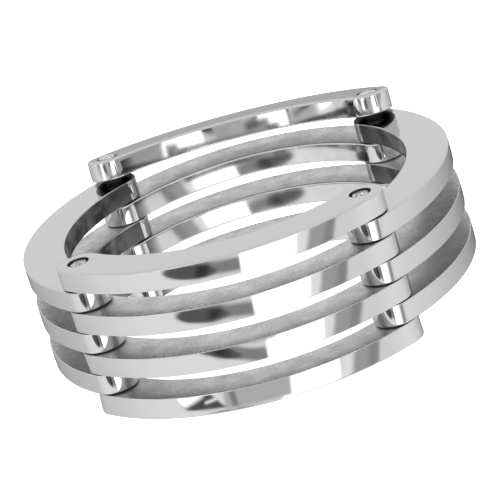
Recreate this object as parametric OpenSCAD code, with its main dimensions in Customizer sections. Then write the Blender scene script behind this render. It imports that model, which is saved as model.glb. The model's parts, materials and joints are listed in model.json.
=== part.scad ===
// Hinged link ring: fourteen quarter-round steel plates in seven levels, threaded on four upright pins.
// Front and back plates fill the odd levels and left and right plates the even ones, so the
// four sides fold about the pins like a parallelogram. The ring lies flat: Z is its axis, level 1
// is the top, the front is towards -Y and the right towards +X. Sizes are millimetres.

/* [Band] */
// Outside diameter of the band
outer_d = 25; // [24.5:0.5:26.5]
// Finger hole diameter
inner_d = 20; // [19:0.5:20.5]
// Radius that breaks the edges of the plates
edge_r = 0.1; // [0.06:0.01:0.15]

/* [Plates] */
// Thickness of one plate
plate_t = 1.2; // [1:0.05:1.4]
// Air between two plates of neighbouring levels
plate_gap = 0.07; // [0.05:0.01:0.1]
// Lean of the loose top back plate, its outer edge down, in degrees
back_top_lean = 8.2; // [0:0.1:10]
// Lean of the two back plates below it, their outer edge up, in degrees
back_middle_lean = 2; // [0:0.1:2.3]

/* [Pins] */
// Diameter of a pin
pin_d = 1.1; // [1:0.05:1.2]
// Radial clearance of a pin in its holes
pin_clearance = 0.05; // [0.03:0.01:0.08]
// Depth of a flush pin end below the plate face round it
pin_recess = 0.04; // [0.02:0.01:0.08]
// Height of the back left pin's worn head above its plate
head_proud = 0.12; // [0.05:0.01:0.2]
// Radius round a pin's peened ends
peen_r = 0.16; // [0.1:0.01:0.2]

/* [Hidden] */
$fn = 96;
// Levels of plates, counted from the top
levels = 7;
odd_levels = [for (level = [1:2:levels]) level];
even_levels = [for (level = [2:2:levels]) level];

// Which way each side of the ring looks from its axis, in degrees from +X
right_way = 0;
back_way = 90;
left_way = 180;
front_way = 270;
// A plate spans a quarter of the circle between the axes of its two pins
plate_span = 90;

plate_w = (outer_d - inner_d) / 2;
end_r = plate_w / 2;
pin_circle_r = (outer_d + inner_d) / 4;
// The pins stand at the corners of a square, this far from the ring's axis along X and along Y
pin_xy = pin_circle_r * sin(plate_span / 2);
pitch = plate_t + plate_gap;
band_h = (levels - 1) * pitch + plate_t;
hole_d = pin_d + 2 * pin_clearance;
// Cutters run past the faces that they cut by this much
past = 1;

// Lift that keeps the leaning plate off the plates below, also where their corners cross when folded
widest_fold = 78;
crossing_r = end_r / cos(widest_fold / 2);
back_top_lift = crossing_r * sin(back_top_lean);
// Height of the leaning plate's upper face at its pins
back_top_z = band_h + back_top_lift + plate_t / 2 * (1 / cos(back_top_lean) - 1);

// Height of the underside of a level
function level_z(level) = (levels - level) * pitch;

// Section of a plate: a rectangle standing on the X axis with broken corners
module plate_section() {
    translate([edge_r, 0]) square([plate_w - 2 * edge_r, plate_t]);
    translate([0, edge_r]) square([plate_w, plate_t - 2 * edge_r]);
    for (x = [edge_r, plate_w - edge_r])
        for (y = [edge_r, plate_t - edge_r])
            translate([x, y]) circle(edge_r);
}

// Half the section of something round, from its axis outwards, with its two corners rounded
module half_section(r, h, corner_r) {
    square([r - corner_r, h]);
    translate([0, corner_r]) square([r, h - 2 * corner_r]);
    for (y = [corner_r, h - corner_r])
        translate([r - corner_r, y]) circle(corner_r);
}

// Round end of a plate, beyond the axis of its pin, towards +Y
module plate_end() {
    translate([pin_circle_r, 0]) rotate_extrude(angle = 180) half_section(end_r, plate_t, edge_r);
}

// Undrilled plate whose middle lies towards +X, with its underside at Z 0
module plate_blank() {
    rotate(-plate_span / 2)
        rotate_extrude(angle = plate_span) translate([inner_d / 2, 0]) plate_section();
    rotate(plate_span / 2) plate_end();
    mirror([0, 1, 0]) rotate(plate_span / 2) plate_end();
}

// Upright holes for the pins of a plate whose middle lies towards +X
module pin_holes() {
    for (side = [-1, 1])
        rotate(side * plate_span / 2)
            translate([pin_circle_r, 0, -past]) cylinder(d = hole_d, h = plate_t + 3 * past);
}

module plate(way, level) {
    color("silver")
        translate([0, 0, level_z(level)]) rotate(way)
            difference() {
                plate_blank();
                pin_holes();
            }
}

// A plate that lies loose on its pins and leans about the line between them, raised by lift to clear its neighbours
module leaning_plate(way, level, lean, lift) {
    color("silver")
        translate([0, 0, level_z(level)]) rotate(way)
            difference() {
                translate([pin_xy, 0, plate_t / 2 + lift])
                    rotate([0, lean, 0])
                        translate([-pin_xy, 0, -plate_t / 2]) plate_blank();
                pin_holes();
            }
}

module front_plate(level) plate(front_way, level);
module right_plate(level) plate(right_way, level);
module left_plate(level) plate(left_way, level);
module back_plate(level) {
    if (level == 1) leaning_plate(back_way, level, back_top_lean, back_top_lift);
    else if (level < levels) leaning_plate(back_way, level, -back_middle_lean, 0);
    else plate(back_way, level);
}

// Pin with peened ends at a corner of the square, from just above the ring's underside to top_z
module pin(side_x, side_y, top_z) {
    color("gainsboro")
        translate([side_x * pin_xy, side_y * pin_xy, pin_recess])
            rotate_extrude() half_section(pin_d / 2, top_z - pin_recess, peen_r);
}

module pin_front_left() pin(-1, -1, band_h - pin_recess);
module pin_front_right() pin(1, -1, band_h - pin_recess);
module pin_back_right() pin(1, 1, back_top_z - pin_recess);
module pin_back_left() pin(-1, 1, back_top_z + head_proud);

for (level = odd_levels) {
    front_plate(level);
    back_plate(level);
}
for (level = even_levels) {
    right_plate(level);
    left_plate(level);
}
pin_front_left();
pin_front_right();
pin_back_right();
pin_back_left();
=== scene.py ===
import json
from math import atan2, cos, pi, radians, sin, tan

import bmesh
import bpy
from mathutils import Matrix, Vector


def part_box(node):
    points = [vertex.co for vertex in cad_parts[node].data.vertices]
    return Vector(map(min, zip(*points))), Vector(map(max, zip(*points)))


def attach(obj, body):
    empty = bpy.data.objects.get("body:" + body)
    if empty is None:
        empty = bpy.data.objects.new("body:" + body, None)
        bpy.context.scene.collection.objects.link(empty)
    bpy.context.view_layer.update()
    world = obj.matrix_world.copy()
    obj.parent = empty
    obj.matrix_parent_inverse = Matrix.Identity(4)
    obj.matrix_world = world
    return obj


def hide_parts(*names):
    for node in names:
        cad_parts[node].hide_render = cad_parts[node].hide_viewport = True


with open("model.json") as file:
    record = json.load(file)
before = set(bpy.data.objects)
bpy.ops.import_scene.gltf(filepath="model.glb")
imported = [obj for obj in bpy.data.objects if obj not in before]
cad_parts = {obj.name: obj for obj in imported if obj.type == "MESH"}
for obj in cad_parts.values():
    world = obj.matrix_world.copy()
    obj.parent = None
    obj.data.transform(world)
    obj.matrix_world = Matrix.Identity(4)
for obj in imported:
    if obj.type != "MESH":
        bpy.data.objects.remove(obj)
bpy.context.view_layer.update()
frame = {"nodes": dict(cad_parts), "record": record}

# A ring of fourteen quarter-round steel plates in seven levels, riveted on four upright pins. Z is its
# axis and the front is towards -Y. Each piece stands in the place of one CAD node

MM = 0.001
Z = Vector((0, 0, 1))

# Real sizes, as in the part's source
outer_r = 12.5 * MM
inner_r = 10.0 * MM
plate_t = 1.2 * MM
pin_circle_r = (outer_r + inner_r) / 2
end_r = (outer_r - inner_r) / 2
hole_r = 0.6 * MM
pin_xy = pin_circle_r * cos(radians(45))
plate_lean = {"back_plate_1": radians(8.2), "back_plate_3": radians(-2), "back_plate_5": radians(-2)}
quarter = radians(90)
levels = 7

# The polishing wheel leaves the outer edges nearly sharp, but it rolls off the upper faces that it
# reaches. A finger wears the inner edges round. Height and width of the outer edges beside a polished
# upper face, a polished underside and a satin face, and then the radius of the inner edges
wheel_edge = (0.07 * MM, 0.3 * MM)
under_edge = (0.08 * MM, 0.08 * MM)
satin_edge = (0.035 * MM, 0.04 * MM)
inner_edge = 0.11 * MM
# The broken rim of a pin hole
rim_break = 0.02 * MM
# Polishing crowns the upright faces by this much from their middle to their edges, and some outer ones by
# more. It also leans outer faces in at the top, by one angle at their left and by another at their right
crown = 0.012 * MM
wheel_crown = {"front_plate_1": 0.014 * MM, "front_plate_7": 0.014 * MM}
wheel_lean = {
    "front_plate_3": (radians(0.5), radians(0.7)),
    "front_plate_5": (radians(-2.3), radians(1.8)),
    "front_plate_7": (radians(5.75), radians(5.75)),
}
# The insides of the loose back plates lean back at the top by this much more than their plates do
inside_lean = {"back_plate_1": radians(3.2), "back_plate_3": radians(2), "back_plate_5": radians(2)}
# The angle along a plate, from its middle, over which one lean passes into the other
lean_change = (radians(-13), radians(6))

# Steps round a plate's outer, inner and end arcs, round a hole or a pin, up an edge and up a wall
outer_steps = 72
inner_steps = 60
end_steps = 32
round_steps = 48
edge_steps = 4
wall_steps = 6
# A loop this close to each edge, as a share of the wall, keeps the wall's shading out of the rounding
support = 0.02
# Vertices closer than this are one
weld = 0.0005 * MM

# The slots of a plate's and of a pin's materials
BRIGHT, SATIN, INSIDE = 0, 1, 2
STRUCK, SHANK = 0, 1


def linear(hex_colour):
    """An sRGB hex colour as the linear values that Blender works in."""
    parts = [int(hex_colour[i:i + 2], 16) / 255 for i in (1, 3, 5)]
    return [p / 12.92 if p <= 0.04045 else ((p + 0.055) / 1.055) ** 2.4 for p in parts] + [1.0]


def add_node(tree, kind, settings=None, links=None):
    """Adds a node. Its settings are properties or the values of sockets, and its links feed sockets."""
    new = tree.nodes.new(kind)
    for name, value in (settings or {}).items():
        if isinstance(name, str) and hasattr(new, name):
            setattr(new, name, value)
        else:
            new.inputs[name].default_value = value
    for socket, source in (links or {}).items():
        tree.links.new(source, new.inputs[socket])
    return new


# Meshes

def finished(bm, name, materials, body, nodes):
    """Makes the bmesh a piece that rides on its body and stands for its CAD node."""
    bmesh.ops.remove_doubles(bm, verts=bm.verts, dist=weld)
    bmesh.ops.recalc_face_normals(bm, faces=bm.faces)
    mesh = bpy.data.meshes.new(name)
    bm.to_mesh(mesh)
    bm.free()
    for material in materials:
        mesh.materials.append(material)
    piece = bpy.data.objects.new(name, mesh)
    bpy.context.scene.collection.objects.link(piece)
    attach(piece, body)
    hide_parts(*nodes)
    return piece


def arc(bm, start, centre, angle, steps, rise=0.0):
    """Spins a vertex about an upright line, rising evenly as it goes, and gives the last vertex."""
    step_up = (0, 0, rise / steps)
    made = bmesh.ops.spin(bm, geom=[start], cent=centre, axis=Z, dvec=step_up, angle=angle, steps=steps)
    return [v for v in made["geom_last"] if isinstance(v, bmesh.types.BMVert)][0]


def outline(bm, outer_z, outer_in, inner_z, inner_in):
    """A plate's closed outline with its middle towards +X. The outer arc is drawn in by outer_in at
    outer_z and the inner arc by inner_in at inner_z, and the round ends run from one to the other."""
    old = set(bm.edges)
    end_shift = (inner_in - outer_in) / 2
    low = Matrix.Rotation(-quarter / 2, 3, "Z")
    high = Matrix.Rotation(quarter / 2, 3, "Z")
    end_centre = Vector((pin_circle_r + end_shift, 0, 0))
    first = bm.verts.new(low @ Vector((outer_r - outer_in, 0, outer_z)))
    last = arc(bm, first, (0, 0, 0), quarter, outer_steps)
    last = arc(bm, last, high @ end_centre, pi, end_steps, inner_z - outer_z)
    last = arc(bm, last, (0, 0, 0), -quarter, inner_steps)
    last = arc(bm, last, low @ end_centre, pi, end_steps, outer_z - inner_z)
    bmesh.ops.weld_verts(bm, targetmap={last: first})
    return [e for e in bm.edges if e not in old]


def wall_sections(polished):
    """The outlines of a plate's wall from its underside up: the height of the outer arc and how far it is
    drawn in, and the same of the inner arc. The edges depend on which flat faces are polished."""
    low_h, low_roll = under_edge if 0 in polished else satin_edge
    high_h, high_roll = wheel_edge if plate_t in polished else satin_edge
    rounding = [quarter * (1 - i / edge_steps) for i in range(edge_steps + 1)]
    rounding = [(1 - sin(a), 1 - cos(a)) for a in rounding]
    sections = [(low_h * h, low_roll * w, inner_edge * h, inner_edge * w) for h, w in rounding]
    for u in [support] + [i / wall_steps for i in range(1, wall_steps)] + [1 - support]:
        outer_z = low_h + (plate_t - low_h - high_h) * u
        inner_z = inner_edge + (plate_t - 2 * inner_edge) * u
        sections.append((outer_z, 0, inner_z, 0))
    for h, w in rounding[::-1]:
        sections.append((plate_t - high_h * h, high_roll * w, plate_t - inner_edge * h, inner_edge * w))
    return sections


def lean_outer_wall(bm, lean_left, lean_right):
    """Draws the outer wall in towards its top, by one lean at its left and by another at its right."""
    for v in bm.verts:
        radius = v.co.xy.length
        share = (atan2(v.co.y, v.co.x) - lean_change[0]) / (lean_change[1] - lean_change[0])
        share = min(max(share, 0), 1)
        # One lean passes smoothly into the other
        share = share * share * (3 - 2 * share)
        outwards = max(radius - pin_circle_r, 0) / end_r
        drawn_in = outwards * v.co.z * tan(lean_left + (lean_right - lean_left) * share)
        v.co.x *= 1 - drawn_in / radius
        v.co.y *= 1 - drawn_in / radius


def hole_loop(bm, centre, z, radius, lean):
    """A loop round a pin hole. It stays upright when its plate leans, so here it slants and is wider."""
    slant = Matrix.Translation((centre.x - (z - plate_t / 2) * tan(lean), centre.y, z))
    wide = Matrix.Diagonal((1 / cos(lean), 1, 1, 1))
    ring = bmesh.ops.create_circle(bm, segments=round_steps, radius=radius, matrix=slant @ wide)
    return list({e for v in ring["verts"] for e in v.link_edges})


def plate(name, way, lean=0.0):
    """A quarter-round plate in the place of its CAD node, whose middle looks way degrees from +X."""
    side, level = name.split("_")[0], int(name.split("_")[-1])
    # The wheel reaches the upper faces of the first two levels and the undersides of the last two, which
    # other plates cover only at their ends. Faces are named by their heights
    polished = {plate_t} if level <= 2 else {0} if level >= levels - 1 else set()
    bm = bmesh.new()
    loops = []
    for outer_z, outer_in, inner_z, inner_in in wall_sections(polished):
        outer_in += wheel_crown.get(name, crown) * (2 * outer_z / plate_t - 1) ** 2
        inner_in += crown * (2 * inner_z / plate_t - 1) ** 2 + inner_z * tan(inside_lean.get(name, 0))
        loops.append(outline(bm, outer_z, outer_in, inner_z, inner_in))
    lean_outer_wall(bm, *wheel_lean.get(name, (0, 0)))
    for under, over in zip(loops, loops[1:]):
        bmesh.ops.bridge_loops(bm, edges=under + over)
    # The wheel barely reaches the insides
    for face in bm.faces:
        middle = face.calc_center_median()
        if middle.xy.length < inner_r + inner_edge / 2 and abs(middle.y) < middle.x:
            face.material_index = INSIDE
    walled = set(bm.faces)
    rims = {0: list(loops[0]), plate_t: list(loops[-1])}
    hole_sections = [
        (0, hole_r + rim_break), (rim_break, hole_r),
        (plate_t - rim_break, hole_r), (plate_t, hole_r + rim_break),
    ]
    for end in (-1, 1):
        centre = Matrix.Rotation(end * quarter / 2, 3, "Z") @ Vector((pin_circle_r, 0, 0))
        hole = [hole_loop(bm, centre, z, radius, lean) for z, radius in hole_sections]
        for under, over in zip(hole, hole[1:]):
            bmesh.ops.bridge_loops(bm, edges=under + over)
        rims[0] += hole[0]
        rims[plate_t] += hole[-1]
    for face in bm.faces:
        face.smooth = True
        if face not in walled:
            face.material_index = SATIN
    for z, edges in rims.items():
        made = bmesh.ops.triangle_fill(bm, edges=edges, normal=Z, use_beauty=True)
        for face in made["geom"]:
            if isinstance(face, bmesh.types.BMFace):
                face.material_index = BRIGHT if z in polished else SATIN
    chord = Vector((pin_circle_r * cos(quarter / 2), 0, plate_t / 2))
    leaning = Matrix.Translation(chord) @ Matrix.Rotation(lean, 4, "Y") @ Matrix.Translation(-chord)
    turned = Matrix.Rotation(radians(way), 4, "Z") @ leaning
    bmesh.ops.transform(bm, matrix=turned, verts=bm.verts)
    # Its middle height is its CAD node's
    low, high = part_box(name)
    here = [v.co.z for v in bm.verts]
    lift = (low.z + high.z) / 2 - (min(here) + max(here)) / 2
    bmesh.ops.translate(bm, vec=(0, 0, lift), verts=bm.verts)
    # The second level's bright faces carry painted shade round their ends, under the knuckles
    bright = shaded_polished_steel if level == 2 else polished_steel
    # The side plates' insides are painted darker: painted dark reflection and shade inside the ring
    inside = shaded_inside_steel if side in ("left", "right") else hazy_steel
    return finished(bm, "steel_" + name, [bright, tumbled_steel, inside], side, [name])


# Profiles of the pins' ends: radius and depth below the end, in millimetres. Round a hammered end is the
# deep groove that the punch leaves. The upper ends of the back pins were ground flat or worn smooth
flush_end = [
    (0.0, 0.0), (0.2, 0.004), (0.34, 0.012), (0.45, 0.028),
    (0.51, 0.06), (0.53, 0.14), (0.54, 0.42), (0.59, 0.42),
]
ground_end = [(0.0, 0.0), (0.3, 0.003), (0.5, 0.012), (0.57, 0.028), (0.59, 0.08), (0.59, 0.42)]
worn_head = [(0.0, 0.0), (0.2, 0.006), (0.38, 0.03), (0.5, 0.075), (0.56, 0.13), (0.57, 0.22)]
shank = [(0.55, 0.6)]
# An end's faces are bright down to this depth in millimetres, and the worn head's to the next
bright_depth = 0.03
bright_head_depth = 0.07


def pin(name):
    """A riveted pin in its CAD node's place: a dull shank whose ends are spread to fill their holes."""
    low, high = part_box(name)
    x, y = (low.x + high.x) / 2, (low.y + high.y) / 2
    tall = high.z - low.z
    head = {"pin_back_left": worn_head, "pin_back_right": ground_end}.get(name, flush_end)
    top = [(r * MM, tall - depth * MM) for r, depth in head + shank]
    bottom = [(r * MM, depth * MM) for r, depth in flush_end + shank]
    bm = bmesh.new()
    profile = [bm.verts.new((r, 0, z)) for r, z in bottom + top[::-1]]
    edges = [bm.edges.new(pair) for pair in zip(profile, profile[1:])]
    bmesh.ops.spin(
        bm, geom=profile + edges, cent=(0, 0, 0), axis=Z, angle=2 * pi, steps=round_steps, use_merge=True,
    )
    for face in bm.faces:
        face.smooth = True
        middle = face.calc_center_median()
        depth = bright_head_depth if head is worn_head and middle.z > tall / 2 else bright_depth
        face.material_index = SHANK if depth * MM < middle.z < tall - depth * MM else STRUCK
    bmesh.ops.translate(bm, vec=(x, y, low.z), verts=bm.verts)
    bodies = frame["record"]["behaviour"]["bodies"]
    body = next(b for b, members in bodies.items() if name in members)
    struck = peened_steel if head is flush_end else worn_steel
    # The shank's dark grey is painted shade for the gaps between the plates
    return finished(bm, "steel_" + name, [struck, shaded_shank_steel], body, [name])


# Materials

# Radii between which painted shade, near black, fades out round a pin: on polished faces as a dark line
# round the hole for its shaded groove, on those of the second level, whose ends lie under the knuckles,
# and on satin faces, under the knuckles
pin_groove_shade = (0.6 * MM, 0.64 * MM)
knuckle_shade = (1.1 * MM, 1.25 * MM)
satin_shade = (0.85 * MM, 1.1 * MM)
# The colour of the painted shade round the pins
painted_shade_colour = "#3A3938"
# Painted shade in the corners inside the ring fades out from this radius round a pin
corner_shade = 1.2 * MM
# Dirt lies on the satin faces beside the outer edge, and grows between these radii
rim_dirt = (11.7 * MM, 12.4 * MM)


def new_material(name):
    """A new material, with its node tree and its shader."""
    material = bpy.data.materials.new(name)
    material.use_nodes = True
    tree = material.node_tree
    return material, tree, tree.nodes["Principled BSDF"]


def new_steel(name):
    """A new metal, with its node tree, its shader and the place on a piece that its patterns follow."""
    material, tree, steel = new_material(name)
    steel.inputs["Metallic"].default_value = 1.0
    place = add_node(tree, "ShaderNodeTexCoord").outputs["Object"]
    return material, tree, steel, place


def near_pins(tree, place, start, end, only_front=False):
    """1 on the pins' axes, or on the two front ones, falling to 0 between two distances from them."""
    part = add_node(tree, "ShaderNodeSeparateXYZ", links={"Vector": place})
    mirrored = {"operation": "ABSOLUTE"}
    across = add_node(tree, "ShaderNodeMath", mirrored, {0: part.outputs["X"]}).outputs[0]
    along = {"operation": "MULTIPLY", 1: -1.0} if only_front else mirrored
    along = add_node(tree, "ShaderNodeMath", along, {0: part.outputs["Y"]}).outputs[0]
    flat = add_node(tree, "ShaderNodeCombineXYZ", links={"X": across, "Y": along}).outputs[0]
    from_pin = {"operation": "DISTANCE", 1: (pin_xy, pin_xy, 0)}
    away = add_node(tree, "ShaderNodeVectorMath", from_pin, {0: flat}).outputs["Value"]
    near = add_node(tree, "ShaderNodeMapRange", {"From Min": end, "From Max": start}, {"Value": away})
    return near.outputs["Result"]


def make_polished_steel(name, stain_and_shade, only_front):
    """Stainless steel, ground flat and buffed: a neutral mirror, a little hazy, with faint waves.
    Painted shade darkens it nearly black round the pins, or round the front ones only."""
    material, tree, steel, place = new_steel(name)
    # Buffing leaves waves some 3 mm long
    waves = {"Scale": 1 / (3.0 * MM), "Detail": 1.0}
    waves = add_node(tree, "ShaderNodeTexNoise", waves, {"Vector": place}).outputs["Fac"]
    bump = {"Strength": 0.5, "Distance": 0.035 * MM}
    bump = add_node(tree, "ShaderNodeBump", bump, {"Height": waves})
    tree.links.new(bump.outputs["Normal"], steel.inputs["Normal"])
    # Haze from handling, in patches of about 1.5 mm
    haze = {"Scale": 1 / (1.5 * MM), "Detail": 4.0}
    haze = add_node(tree, "ShaderNodeTexNoise", haze, {"Vector": place}).outputs["Fac"]
    rough = {"From Min": 0.35, "From Max": 0.7, "To Min": 0.04, "To Max": 0.08}
    rough = add_node(tree, "ShaderNodeMapRange", rough, {"Value": haze})
    tree.links.new(rough.outputs["Result"], steel.inputs["Roughness"])
    # Painted shade round the pins, nearly black: a dark line round the holes, or the shade under the
    # knuckles
    near = near_pins(tree, place, *stain_and_shade, only_front)
    colours = {"data_type": "RGBA", 6: linear("#CFCFD0"), 7: linear(painted_shade_colour)}
    colour = add_node(tree, "ShaderNodeMix", colours, {0: near})
    tree.links.new(colour.outputs[2], steel.inputs["Base Color"])
    return material


def make_inside_steel(name, dark, light, shade_to, roughness):
    """Steel inside the ring, smoothed with fine paper and then wiped with the wheel: a softer mirror,
    dark in clouds, with painted shade in the corners round the pins, out to the radius given for it."""
    material, tree, steel, place = new_steel(name)
    steel.inputs["Roughness"].default_value = roughness
    # Clouds of wear about 1.2 mm across
    wear = {"Scale": 1 / (1.2 * MM), "Detail": 2.0}
    wear = add_node(tree, "ShaderNodeTexNoise", wear, {"Vector": place}).outputs["Fac"]
    worn = add_node(tree, "ShaderNodeMapRange", {"From Min": 0.35, "From Max": 0.65}, {"Value": wear})
    tones = {"data_type": "RGBA", 6: linear(dark), 7: linear(light)}
    tone = add_node(tree, "ShaderNodeMix", tones, {0: worn.outputs["Result"]}).outputs[2]
    # Painted shade in the corners round the pins
    near = near_pins(tree, place, corner_shade, shade_to)
    dirt_and_shade = {"data_type": "RGBA", 7: linear("#5C5B5A")}
    tone = add_node(tree, "ShaderNodeMix", dirt_and_shade, {0: near, 6: tone}).outputs[2]
    tree.links.new(tone, steel.inputs["Base Color"])
    return material


def make_tumbled_steel():
    """Steel in the gaps, tumbled, where the wheel can't reach: a grey satin, mottled, with darker stains,
    and with painted shade, near black, round the pins under the knuckles."""
    material, tree, steel, place = new_steel("tumbled_stainless_steel")
    # Specks of about 0.13 mm, and stains of about 1 mm
    specks = {"Scale": 1 / (0.13 * MM), "Detail": 3.0}
    specks = add_node(tree, "ShaderNodeTexNoise", specks, {"Vector": place}).outputs["Fac"]
    stain_and_shade = {"Scale": 1 / (1.0 * MM), "Detail": 3.0}
    stain_and_shade = add_node(tree, "ShaderNodeTexNoise", stain_and_shade, {"Vector": place}).outputs["Fac"]
    both = add_node(tree, "ShaderNodeMix", {"data_type": "FLOAT", 0: 0.55}, {2: stain_and_shade, 3: specks})
    tone = add_node(tree, "ShaderNodeValToRGB", links={"Fac": both.outputs[0]})
    for stop, position, colour in zip(tone.color_ramp.elements, (0.36, 0.62), ("#C2C1C1", "#E4E4E5")):
        stop.position = position
        stop.color = linear(colour)
    # Dirt caught between the specks beside the outer edge
    flat = {"operation": "MULTIPLY", 1: (1, 1, 0)}
    flat = add_node(tree, "ShaderNodeVectorMath", flat, {0: place}).outputs[0]
    radius = add_node(tree, "ShaderNodeVectorMath", {"operation": "LENGTH"}, {0: flat}).outputs["Value"]
    rim = {"From Min": rim_dirt[0], "From Max": rim_dirt[1]}
    rim = add_node(tree, "ShaderNodeMapRange", rim, {"Value": radius}).outputs["Result"]
    pit = {"From Min": 0.48, "From Max": 0.62}
    pit = add_node(tree, "ShaderNodeMapRange", pit, {"Value": specks}).outputs["Result"]
    dirt = add_node(tree, "ShaderNodeMath", {"operation": "MULTIPLY"}, {0: rim, 1: pit}).outputs[0]
    dirt_and_shade = {"data_type": "RGBA", 7: linear("#858483")}
    tone = add_node(tree, "ShaderNodeMix", dirt_and_shade, {0: dirt, 6: tone.outputs["Color"]}).outputs[2]
    # Painted shade round the pins, under the knuckles above
    near = near_pins(tree, place, *satin_shade)
    shaded = {"data_type": "RGBA", 7: linear(painted_shade_colour)}
    colour = add_node(tree, "ShaderNodeMix", shaded, {0: near, 6: tone})
    tree.links.new(colour.outputs[2], steel.inputs["Base Color"])
    rough = {"From Min": 0.3, "From Max": 0.7, "To Min": 0.46, "To Max": 0.4}
    rough = add_node(tree, "ShaderNodeMapRange", rough, {"Value": stain_and_shade})
    tree.links.new(rough.outputs["Result"], steel.inputs["Roughness"])
    bump = {"Strength": 0.25, "Distance": 0.01 * MM}
    bump = add_node(tree, "ShaderNodeBump", bump, {"Height": specks})
    tree.links.new(bump.outputs["Normal"], steel.inputs["Normal"])
    return material


def make_peened_steel(name, pit_colour, depth):
    """Stainless steel wire, hammered at its ends: bright, with facets and dirty pits. Wear has nearly
    smoothed the back pins' ends again, so depth is small there and the pits are light."""
    material, tree, steel, place = new_steel(name)
    steel.inputs["Roughness"].default_value = 0.22
    # Hammer marks about 0.15 mm across, and pits between them that hold dirt
    marks = {"Scale": 1 / (0.15 * MM)}
    marks = add_node(tree, "ShaderNodeTexVoronoi", marks, {"Vector": place}).outputs["Distance"]
    pits = {"Scale": 1 / (0.14 * MM), "Detail": 2.0}
    pits = add_node(tree, "ShaderNodeTexNoise", pits, {"Vector": place}).outputs["Fac"]
    clean = add_node(tree, "ShaderNodeMapRange", {"From Min": 0.4, "From Max": 0.55}, {"Value": pits})
    tones = {"data_type": "RGBA", 6: linear(pit_colour), 7: linear("#E2E2E3")}
    tone = add_node(tree, "ShaderNodeMix", tones, {0: clean.outputs["Result"]})
    tree.links.new(tone.outputs[2], steel.inputs["Base Color"])
    bump = {"Strength": depth, "Distance": 0.03 * MM}
    bump = add_node(tree, "ShaderNodeBump", bump, {"Height": marks})
    tree.links.new(bump.outputs["Normal"], steel.inputs["Normal"])
    return material


def make_shaded_shank_steel():
    """The pins' shanks, drawn steel wire that nobody polishes: dark grey in blotches, painted shade for
    the gaps.
    """
    material, tree, steel, place = new_steel("shank_steel_painted_shade")
    steel.inputs["Roughness"].default_value = 0.45
    # Blotches of two dark tones about 0.4 mm across
    blotches = {"Scale": 1 / (0.4 * MM), "Detail": 3.0}
    blotches = add_node(tree, "ShaderNodeTexNoise", blotches, {"Vector": place}).outputs["Fac"]
    tones = {"data_type": "RGBA", 6: linear("#2E2D2C"), 7: linear("#5A5958")}
    tone = add_node(tree, "ShaderNodeMix", tones, {0: blotches})
    tree.links.new(tone.outputs[2], steel.inputs["Base Color"])
    return material


# The first carries a painted dark line round the front holes, the second painted shade round all four pins
polished_steel = make_polished_steel("polished_stainless_steel", pin_groove_shade, True)
shaded_polished_steel = make_polished_steel("polished_steel_painted_shade", knuckle_shade, False)
# Both carry painted shade in the corners round the pins
hazy_steel = make_inside_steel("hazy_stainless_steel", "#C8C8C9", "#D2D2D3", 1.6 * MM, 0.1)
# Its dark tones are painted dark reflection and shade inside the side plates
shaded_inside_steel = make_inside_steel("inside_steel_painted_shade", "#3E3D3D", "#858586", 3.0 * MM, 0.24)
tumbled_steel = make_tumbled_steel()
peened_steel = make_peened_steel("peened_stainless_steel", "#7E7D7D", 0.8)
worn_steel = make_peened_steel("worn_stainless_steel", "#B4B4B5", 0.12)
shaded_shank_steel = make_shaded_shank_steel()

# Which way each side of the ring looks from its axis, in degrees from +X
ways = {"right": 0, "back": 90, "left": 180, "front": 270}
for node in sorted(frame["nodes"]):
    if node.startswith("pin"):
        pin(node)
    else:
        plate(node, ways[node.split("_")[0]], plate_lean.get(node, 0.0))


# Studio: a white floor, and a soft light field of pale walls with brighter and darker panels

# Half the side of the floor, in metres
floor_half = 2.0
# The floor lies a little under the ring, so that no two faces share a plane
floor_drop = 0.02 * MM


def make_floor():
    bm = bmesh.new()
    bmesh.ops.create_grid(bm, x_segments=1, y_segments=1, size=floor_half)
    mesh = bpy.data.meshes.new("studio_floor")
    bm.to_mesh(mesh)
    bm.free()
    floor = bpy.data.objects.new("studio_floor", mesh)
    bpy.context.scene.collection.objects.link(floor)
    material, _, paper = new_material("white_paper")
    paper.inputs["Base Color"].default_value = linear("#FFFFFF")
    paper.inputs["Roughness"].default_value = 1.0
    paper.inputs["Emission Color"].default_value = linear("#FFFFFF")
    paper.inputs["Emission Strength"].default_value = 1.0
    mesh.materials.append(material)
    # The steel mirrors the panels of the light field and not the paper
    floor.visible_glossy = False
    floor.location.z = -floor_drop


# The walls round the ring, from the floor to the horizon: azimuth in degrees and brightness
walls_round = [
    (-180, 0.89), (-164, 1.02), (-148, 1.10), (-120, 1.12), (-60, 1.00), (-26, 0.97), (-15, 1.10),
    (-4, 1.02), (11, 0.94), (27, 0.79), (44, 0.67), (60, 0.50), (74, 0.34), (84, 0.18), (108, 0.22),
    (124, 0.50), (140, 0.63), (156, 0.73), (180, 0.89),
]
# They pass into the brightness overhead between these elevations
walls_fade = (radians(-8), radians(12))
overhead = 0.89
# A colour ramp stops at 1, so it holds the brightness divided by this
ramp_top = 2.0
# A panel has its azimuth at this elevation, and leans away from it above and below
panel_level = -21
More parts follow.
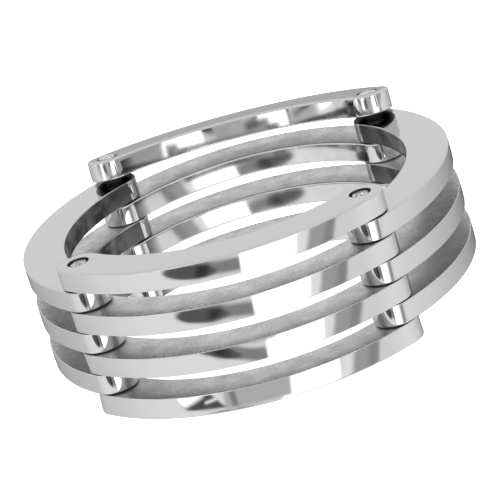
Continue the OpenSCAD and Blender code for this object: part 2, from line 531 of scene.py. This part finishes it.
# Panels, a later one over an earlier one: azimuth of the middle, half width, soft edge and shift per
# degree of elevation above panel_level, then elevation of the middle, half height, soft edge and shift
# per degree of azimuth, all in degrees, then brightness, and whether the panel is round
panels = [
    ("mid_flag", -99, 11.5, 1.5, 0.1, -19.4, 3.2, 3.0, -0.1, 0.32, False),
    ("dark_flag", -113.5, 14, 4, 0.1, -19.0, 3.4, 1.5, -0.1, 0.13, True),
    ("dark_core", -108, 3.5, 5, 0.6, -19.4, 3.0, 3.0, 0, 0.05, False),
    ("window", -72, 15.3, 2.2, 0.2, -19.5, 15.5, 2, 0, 2.3, False),
    ("window_fade", -53.5, 4, 3.5, 0.4, -19.5, 15.5, 2, 0, 1.15, False),
    ("grey_wall", -44, 7.5, 4, 0.4, -19.5, 15.5, 2, 0, 0.5, False),
    ("dark_post", -39, 3, 4, 0.4, -19.5, 15.5, 2, 0, 0.36, False),
    ("grey_flag", -100, 17.5, 2.5, 0.2, -9.2, 5.6, 2, 0, 0.64, False),
    ("thin_post", -110.5, 1.6, 2.5, 0, -10.6, 3.6, 2.5, 0, 0.3, False),
    ("lamp_rim", -119.5, 10.5, 2.5, -0.9, -9.3, 4.6, 1.4, 0, 0.1, False),
    ("lamp_left", -121.5, 8, 2.5, -0.9, -7.0, 3.2, 2.4, 0.3, 2.0, False),
    ("lamp_bar", -122.5, 3.5, 2, 0, -10.4, 0.5, 1.0, 0.2, 1.4, False),
    ("horizon_right", -27, 16, 4, 0, 5, 8, 3, 0, 0.5, False),
    ("horizon_window", -58, 14, 3, 0, 5, 8, 3, 0, 2.3, False),
    ("horizon_corner", -50, 4, 2, 0, 1.5, 3, 2, 0, 0.25, False),
    ("horizon_streak", -76, 4, 3, 0, 7.4, 1.6, 1.5, 0.15, 0.12, False),
    ("horizon_grey", -90, 10, 4, 0, 5, 8, 4, 0, 0.6, False),
    ("horizon_flag", -108, 8, 4, 0, 4.8, 2.8, 3, -0.1, 0.16, False),
    ("horizon_lamp_edge", -114, 4, 3, 0, 8.3, 2.4, 2, 0, 2.2, False),
    ("horizon_lamp", -124, 6.5, 2, 0, 5, 8, 3, 0, 2.2, False),
    ("horizon_gap", -131.5, 1, 1.5, 0, 5, 8, 3, 0, 0.2, False),
    ("horizon_left", -143, 9, 3, 0, 5, 8, 3, 0, 0.7, False),
    ("horizon_line", -143, 8, 4, 0, 3.0, 1.0, 1.5, -0.08, 0.2, False),
    ("horizon_strip", -161, 6, 3, 0, 2.4, 3.0, 2, 0, 2.4, False),
]


def panel_mask(tree, azimuth, elevation, shape, is_round):
    """1 inside a panel and 0 outside it, with the step between them spread over its soft edges."""
    way, half, soft, lean, height, reach, soft_rim, tilt = shape
    shift = {"operation": "MULTIPLY_ADD", 1: -lean, 2: radians(panel_level * lean - way)}
    shift = add_node(tree, "ShaderNodeMath", shift, {0: elevation}).outputs[0]
    away = add_node(tree, "ShaderNodeMath", {"operation": "ADD"}, {0: azimuth, 1: shift}).outputs[0]
    away = add_node(tree, "ShaderNodeMath", {"operation": "WRAP", 1: pi, 2: -pi}, {0: away}).outputs[0]
    drop = {"operation": "MULTIPLY_ADD", 1: -tilt, 2: radians(-height)}
    drop = add_node(tree, "ShaderNodeMath", drop, {0: away}).outputs[0]
    up = add_node(tree, "ShaderNodeMath", {"operation": "ADD"}, {0: elevation, 1: drop}).outputs[0]
    if is_round:
        # How far out in the ellipse, from 0 in its middle to 1 on its rim
        wide = {"operation": "DIVIDE", 1: radians(half)}
        wide = add_node(tree, "ShaderNodeMath", wide, {0: away}).outputs[0]
        tall = {"operation": "DIVIDE", 1: radians(reach)}
        tall = add_node(tree, "ShaderNodeMath", tall, {0: up}).outputs[0]
        spot = add_node(tree, "ShaderNodeCombineXYZ", links={"X": wide, "Y": tall}).outputs[0]
        out = add_node(tree, "ShaderNodeVectorMath", {"operation": "LENGTH"}, {0: spot})
        sides = [(out.outputs["Value"], 1, soft / half)]
    else:
        sides = [(away, radians(half), radians(soft)), (up, radians(reach), radians(soft_rim))]
    masks = []
    for offset, size, blur in sides:
        offset = add_node(tree, "ShaderNodeMath", {"operation": "ABSOLUTE"}, {0: offset}).outputs[0]
        start, end = size + blur / 2, size - blur / 2
        fade = {"interpolation_type": "SMOOTHSTEP", "From Min": start, "From Max": end}
        masks.append(add_node(tree, "ShaderNodeMapRange", fade, {"Value": offset}).outputs["Result"])
    if is_round:
        return masks[0]
    both = {0: masks[0], 1: masks[1]}
    return add_node(tree, "ShaderNodeMath", {"operation": "MULTIPLY"}, both).outputs[0]


def make_world():
    world = bpy.data.worlds.new("studio_light")
    bpy.context.scene.world = world
    world.use_nodes = True
    tree = world.node_tree
    shade = tree.nodes["Background"]
    towards = add_node(tree, "ShaderNodeTexCoord").outputs["Generated"]
    part = add_node(tree, "ShaderNodeSeparateXYZ", links={"Vector": towards}).outputs
    azimuth = {0: part["Y"], 1: part["X"]}
    azimuth = add_node(tree, "ShaderNodeMath", {"operation": "ARCTAN2"}, azimuth).outputs[0]
    elevation = add_node(tree, "ShaderNodeMath", {"operation": "ARCSINE"}, {0: part["Z"]}).outputs[0]
    turn = add_node(tree, "ShaderNodeMapRange", {"From Min": -pi, "From Max": pi}, {"Value": azimuth})
    walls = add_node(tree, "ShaderNodeValToRGB", links={"Fac": turn.outputs["Result"]})
    stops = walls.color_ramp.elements
    for way, _ in walls_round[1:-1]:
        stops.new((way + 180) / 360)
    for stop, (_, bright) in zip(stops, walls_round):
        share = bright / ramp_top
        stop.color = (share, share, share, 1)
    full = {"operation": "MULTIPLY", 1: ramp_top}
    level = add_node(tree, "ShaderNodeMath", full, {0: walls.outputs["Color"]}).outputs[0]
    rise = {"interpolation_type": "SMOOTHSTEP", "From Min": walls_fade[0], "From Max": walls_fade[1]}
    rise = add_node(tree, "ShaderNodeMapRange", rise, {"Value": elevation}).outputs["Result"]
    sky = {"data_type": "FLOAT", 3: overhead}
    level = add_node(tree, "ShaderNodeMix", sky, {0: rise, 2: level}).outputs[0]
    for name, *shape, bright, is_round in panels:
        mask = panel_mask(tree, azimuth, elevation, shape, is_round)
        panel = {"data_type": "FLOAT", "label": name, 3: bright}
        level = add_node(tree, "ShaderNodeMix", panel, {0: mask, 2: level}).outputs[0]
    # A camera sees plain pale paper behind the ring
    seen = add_node(tree, "ShaderNodeLightPath").outputs["Is Camera Ray"]
    level = add_node(tree, "ShaderNodeMix", {"data_type": "FLOAT", 3: 1.0}, {0: seen, 2: level}).outputs[0]
    tree.links.new(level, shade.inputs["Strength"])
    shade.inputs["Color"].default_value = linear("#FFFFFF")


make_floor()
make_world()


# Camera at the photograph's place, with its real distance, lens and roll

camera_place = Vector((28.182, -165.605, 65.262)) * MM
camera_aim = Vector((-0.029, 0.0, 4.193)) * MM
camera_roll = radians(17.09)
# The lens and the sensor's width are in millimetres, as Blender keeps them
lens = 226.17
sensor = 36
# What lies nearer or farther than this, in metres, isn't drawn
clip = (0.01, 20)


def make_camera():
    data = bpy.data.cameras.new("camera")
    data.sensor_width = sensor
    data.lens = lens
    data.clip_start, data.clip_end = clip
    camera = bpy.data.objects.new("camera", data)
    bpy.context.scene.collection.objects.link(camera)
    ahead = (camera_aim - camera_place).normalized()
    level = ahead.cross(Z).normalized()
    above = level.cross(ahead)
    right = level * cos(camera_roll) - above * sin(camera_roll)
    up = right.cross(ahead)
    turn = Matrix((right, up, -ahead)).transposed().to_4x4()
    camera.matrix_world = Matrix.Translation(camera_place) @ turn
    bpy.context.scene.camera = camera


make_camera()
bpy.context.scene.view_settings.view_transform = "Standard"

bpy.context.view_layer.update()
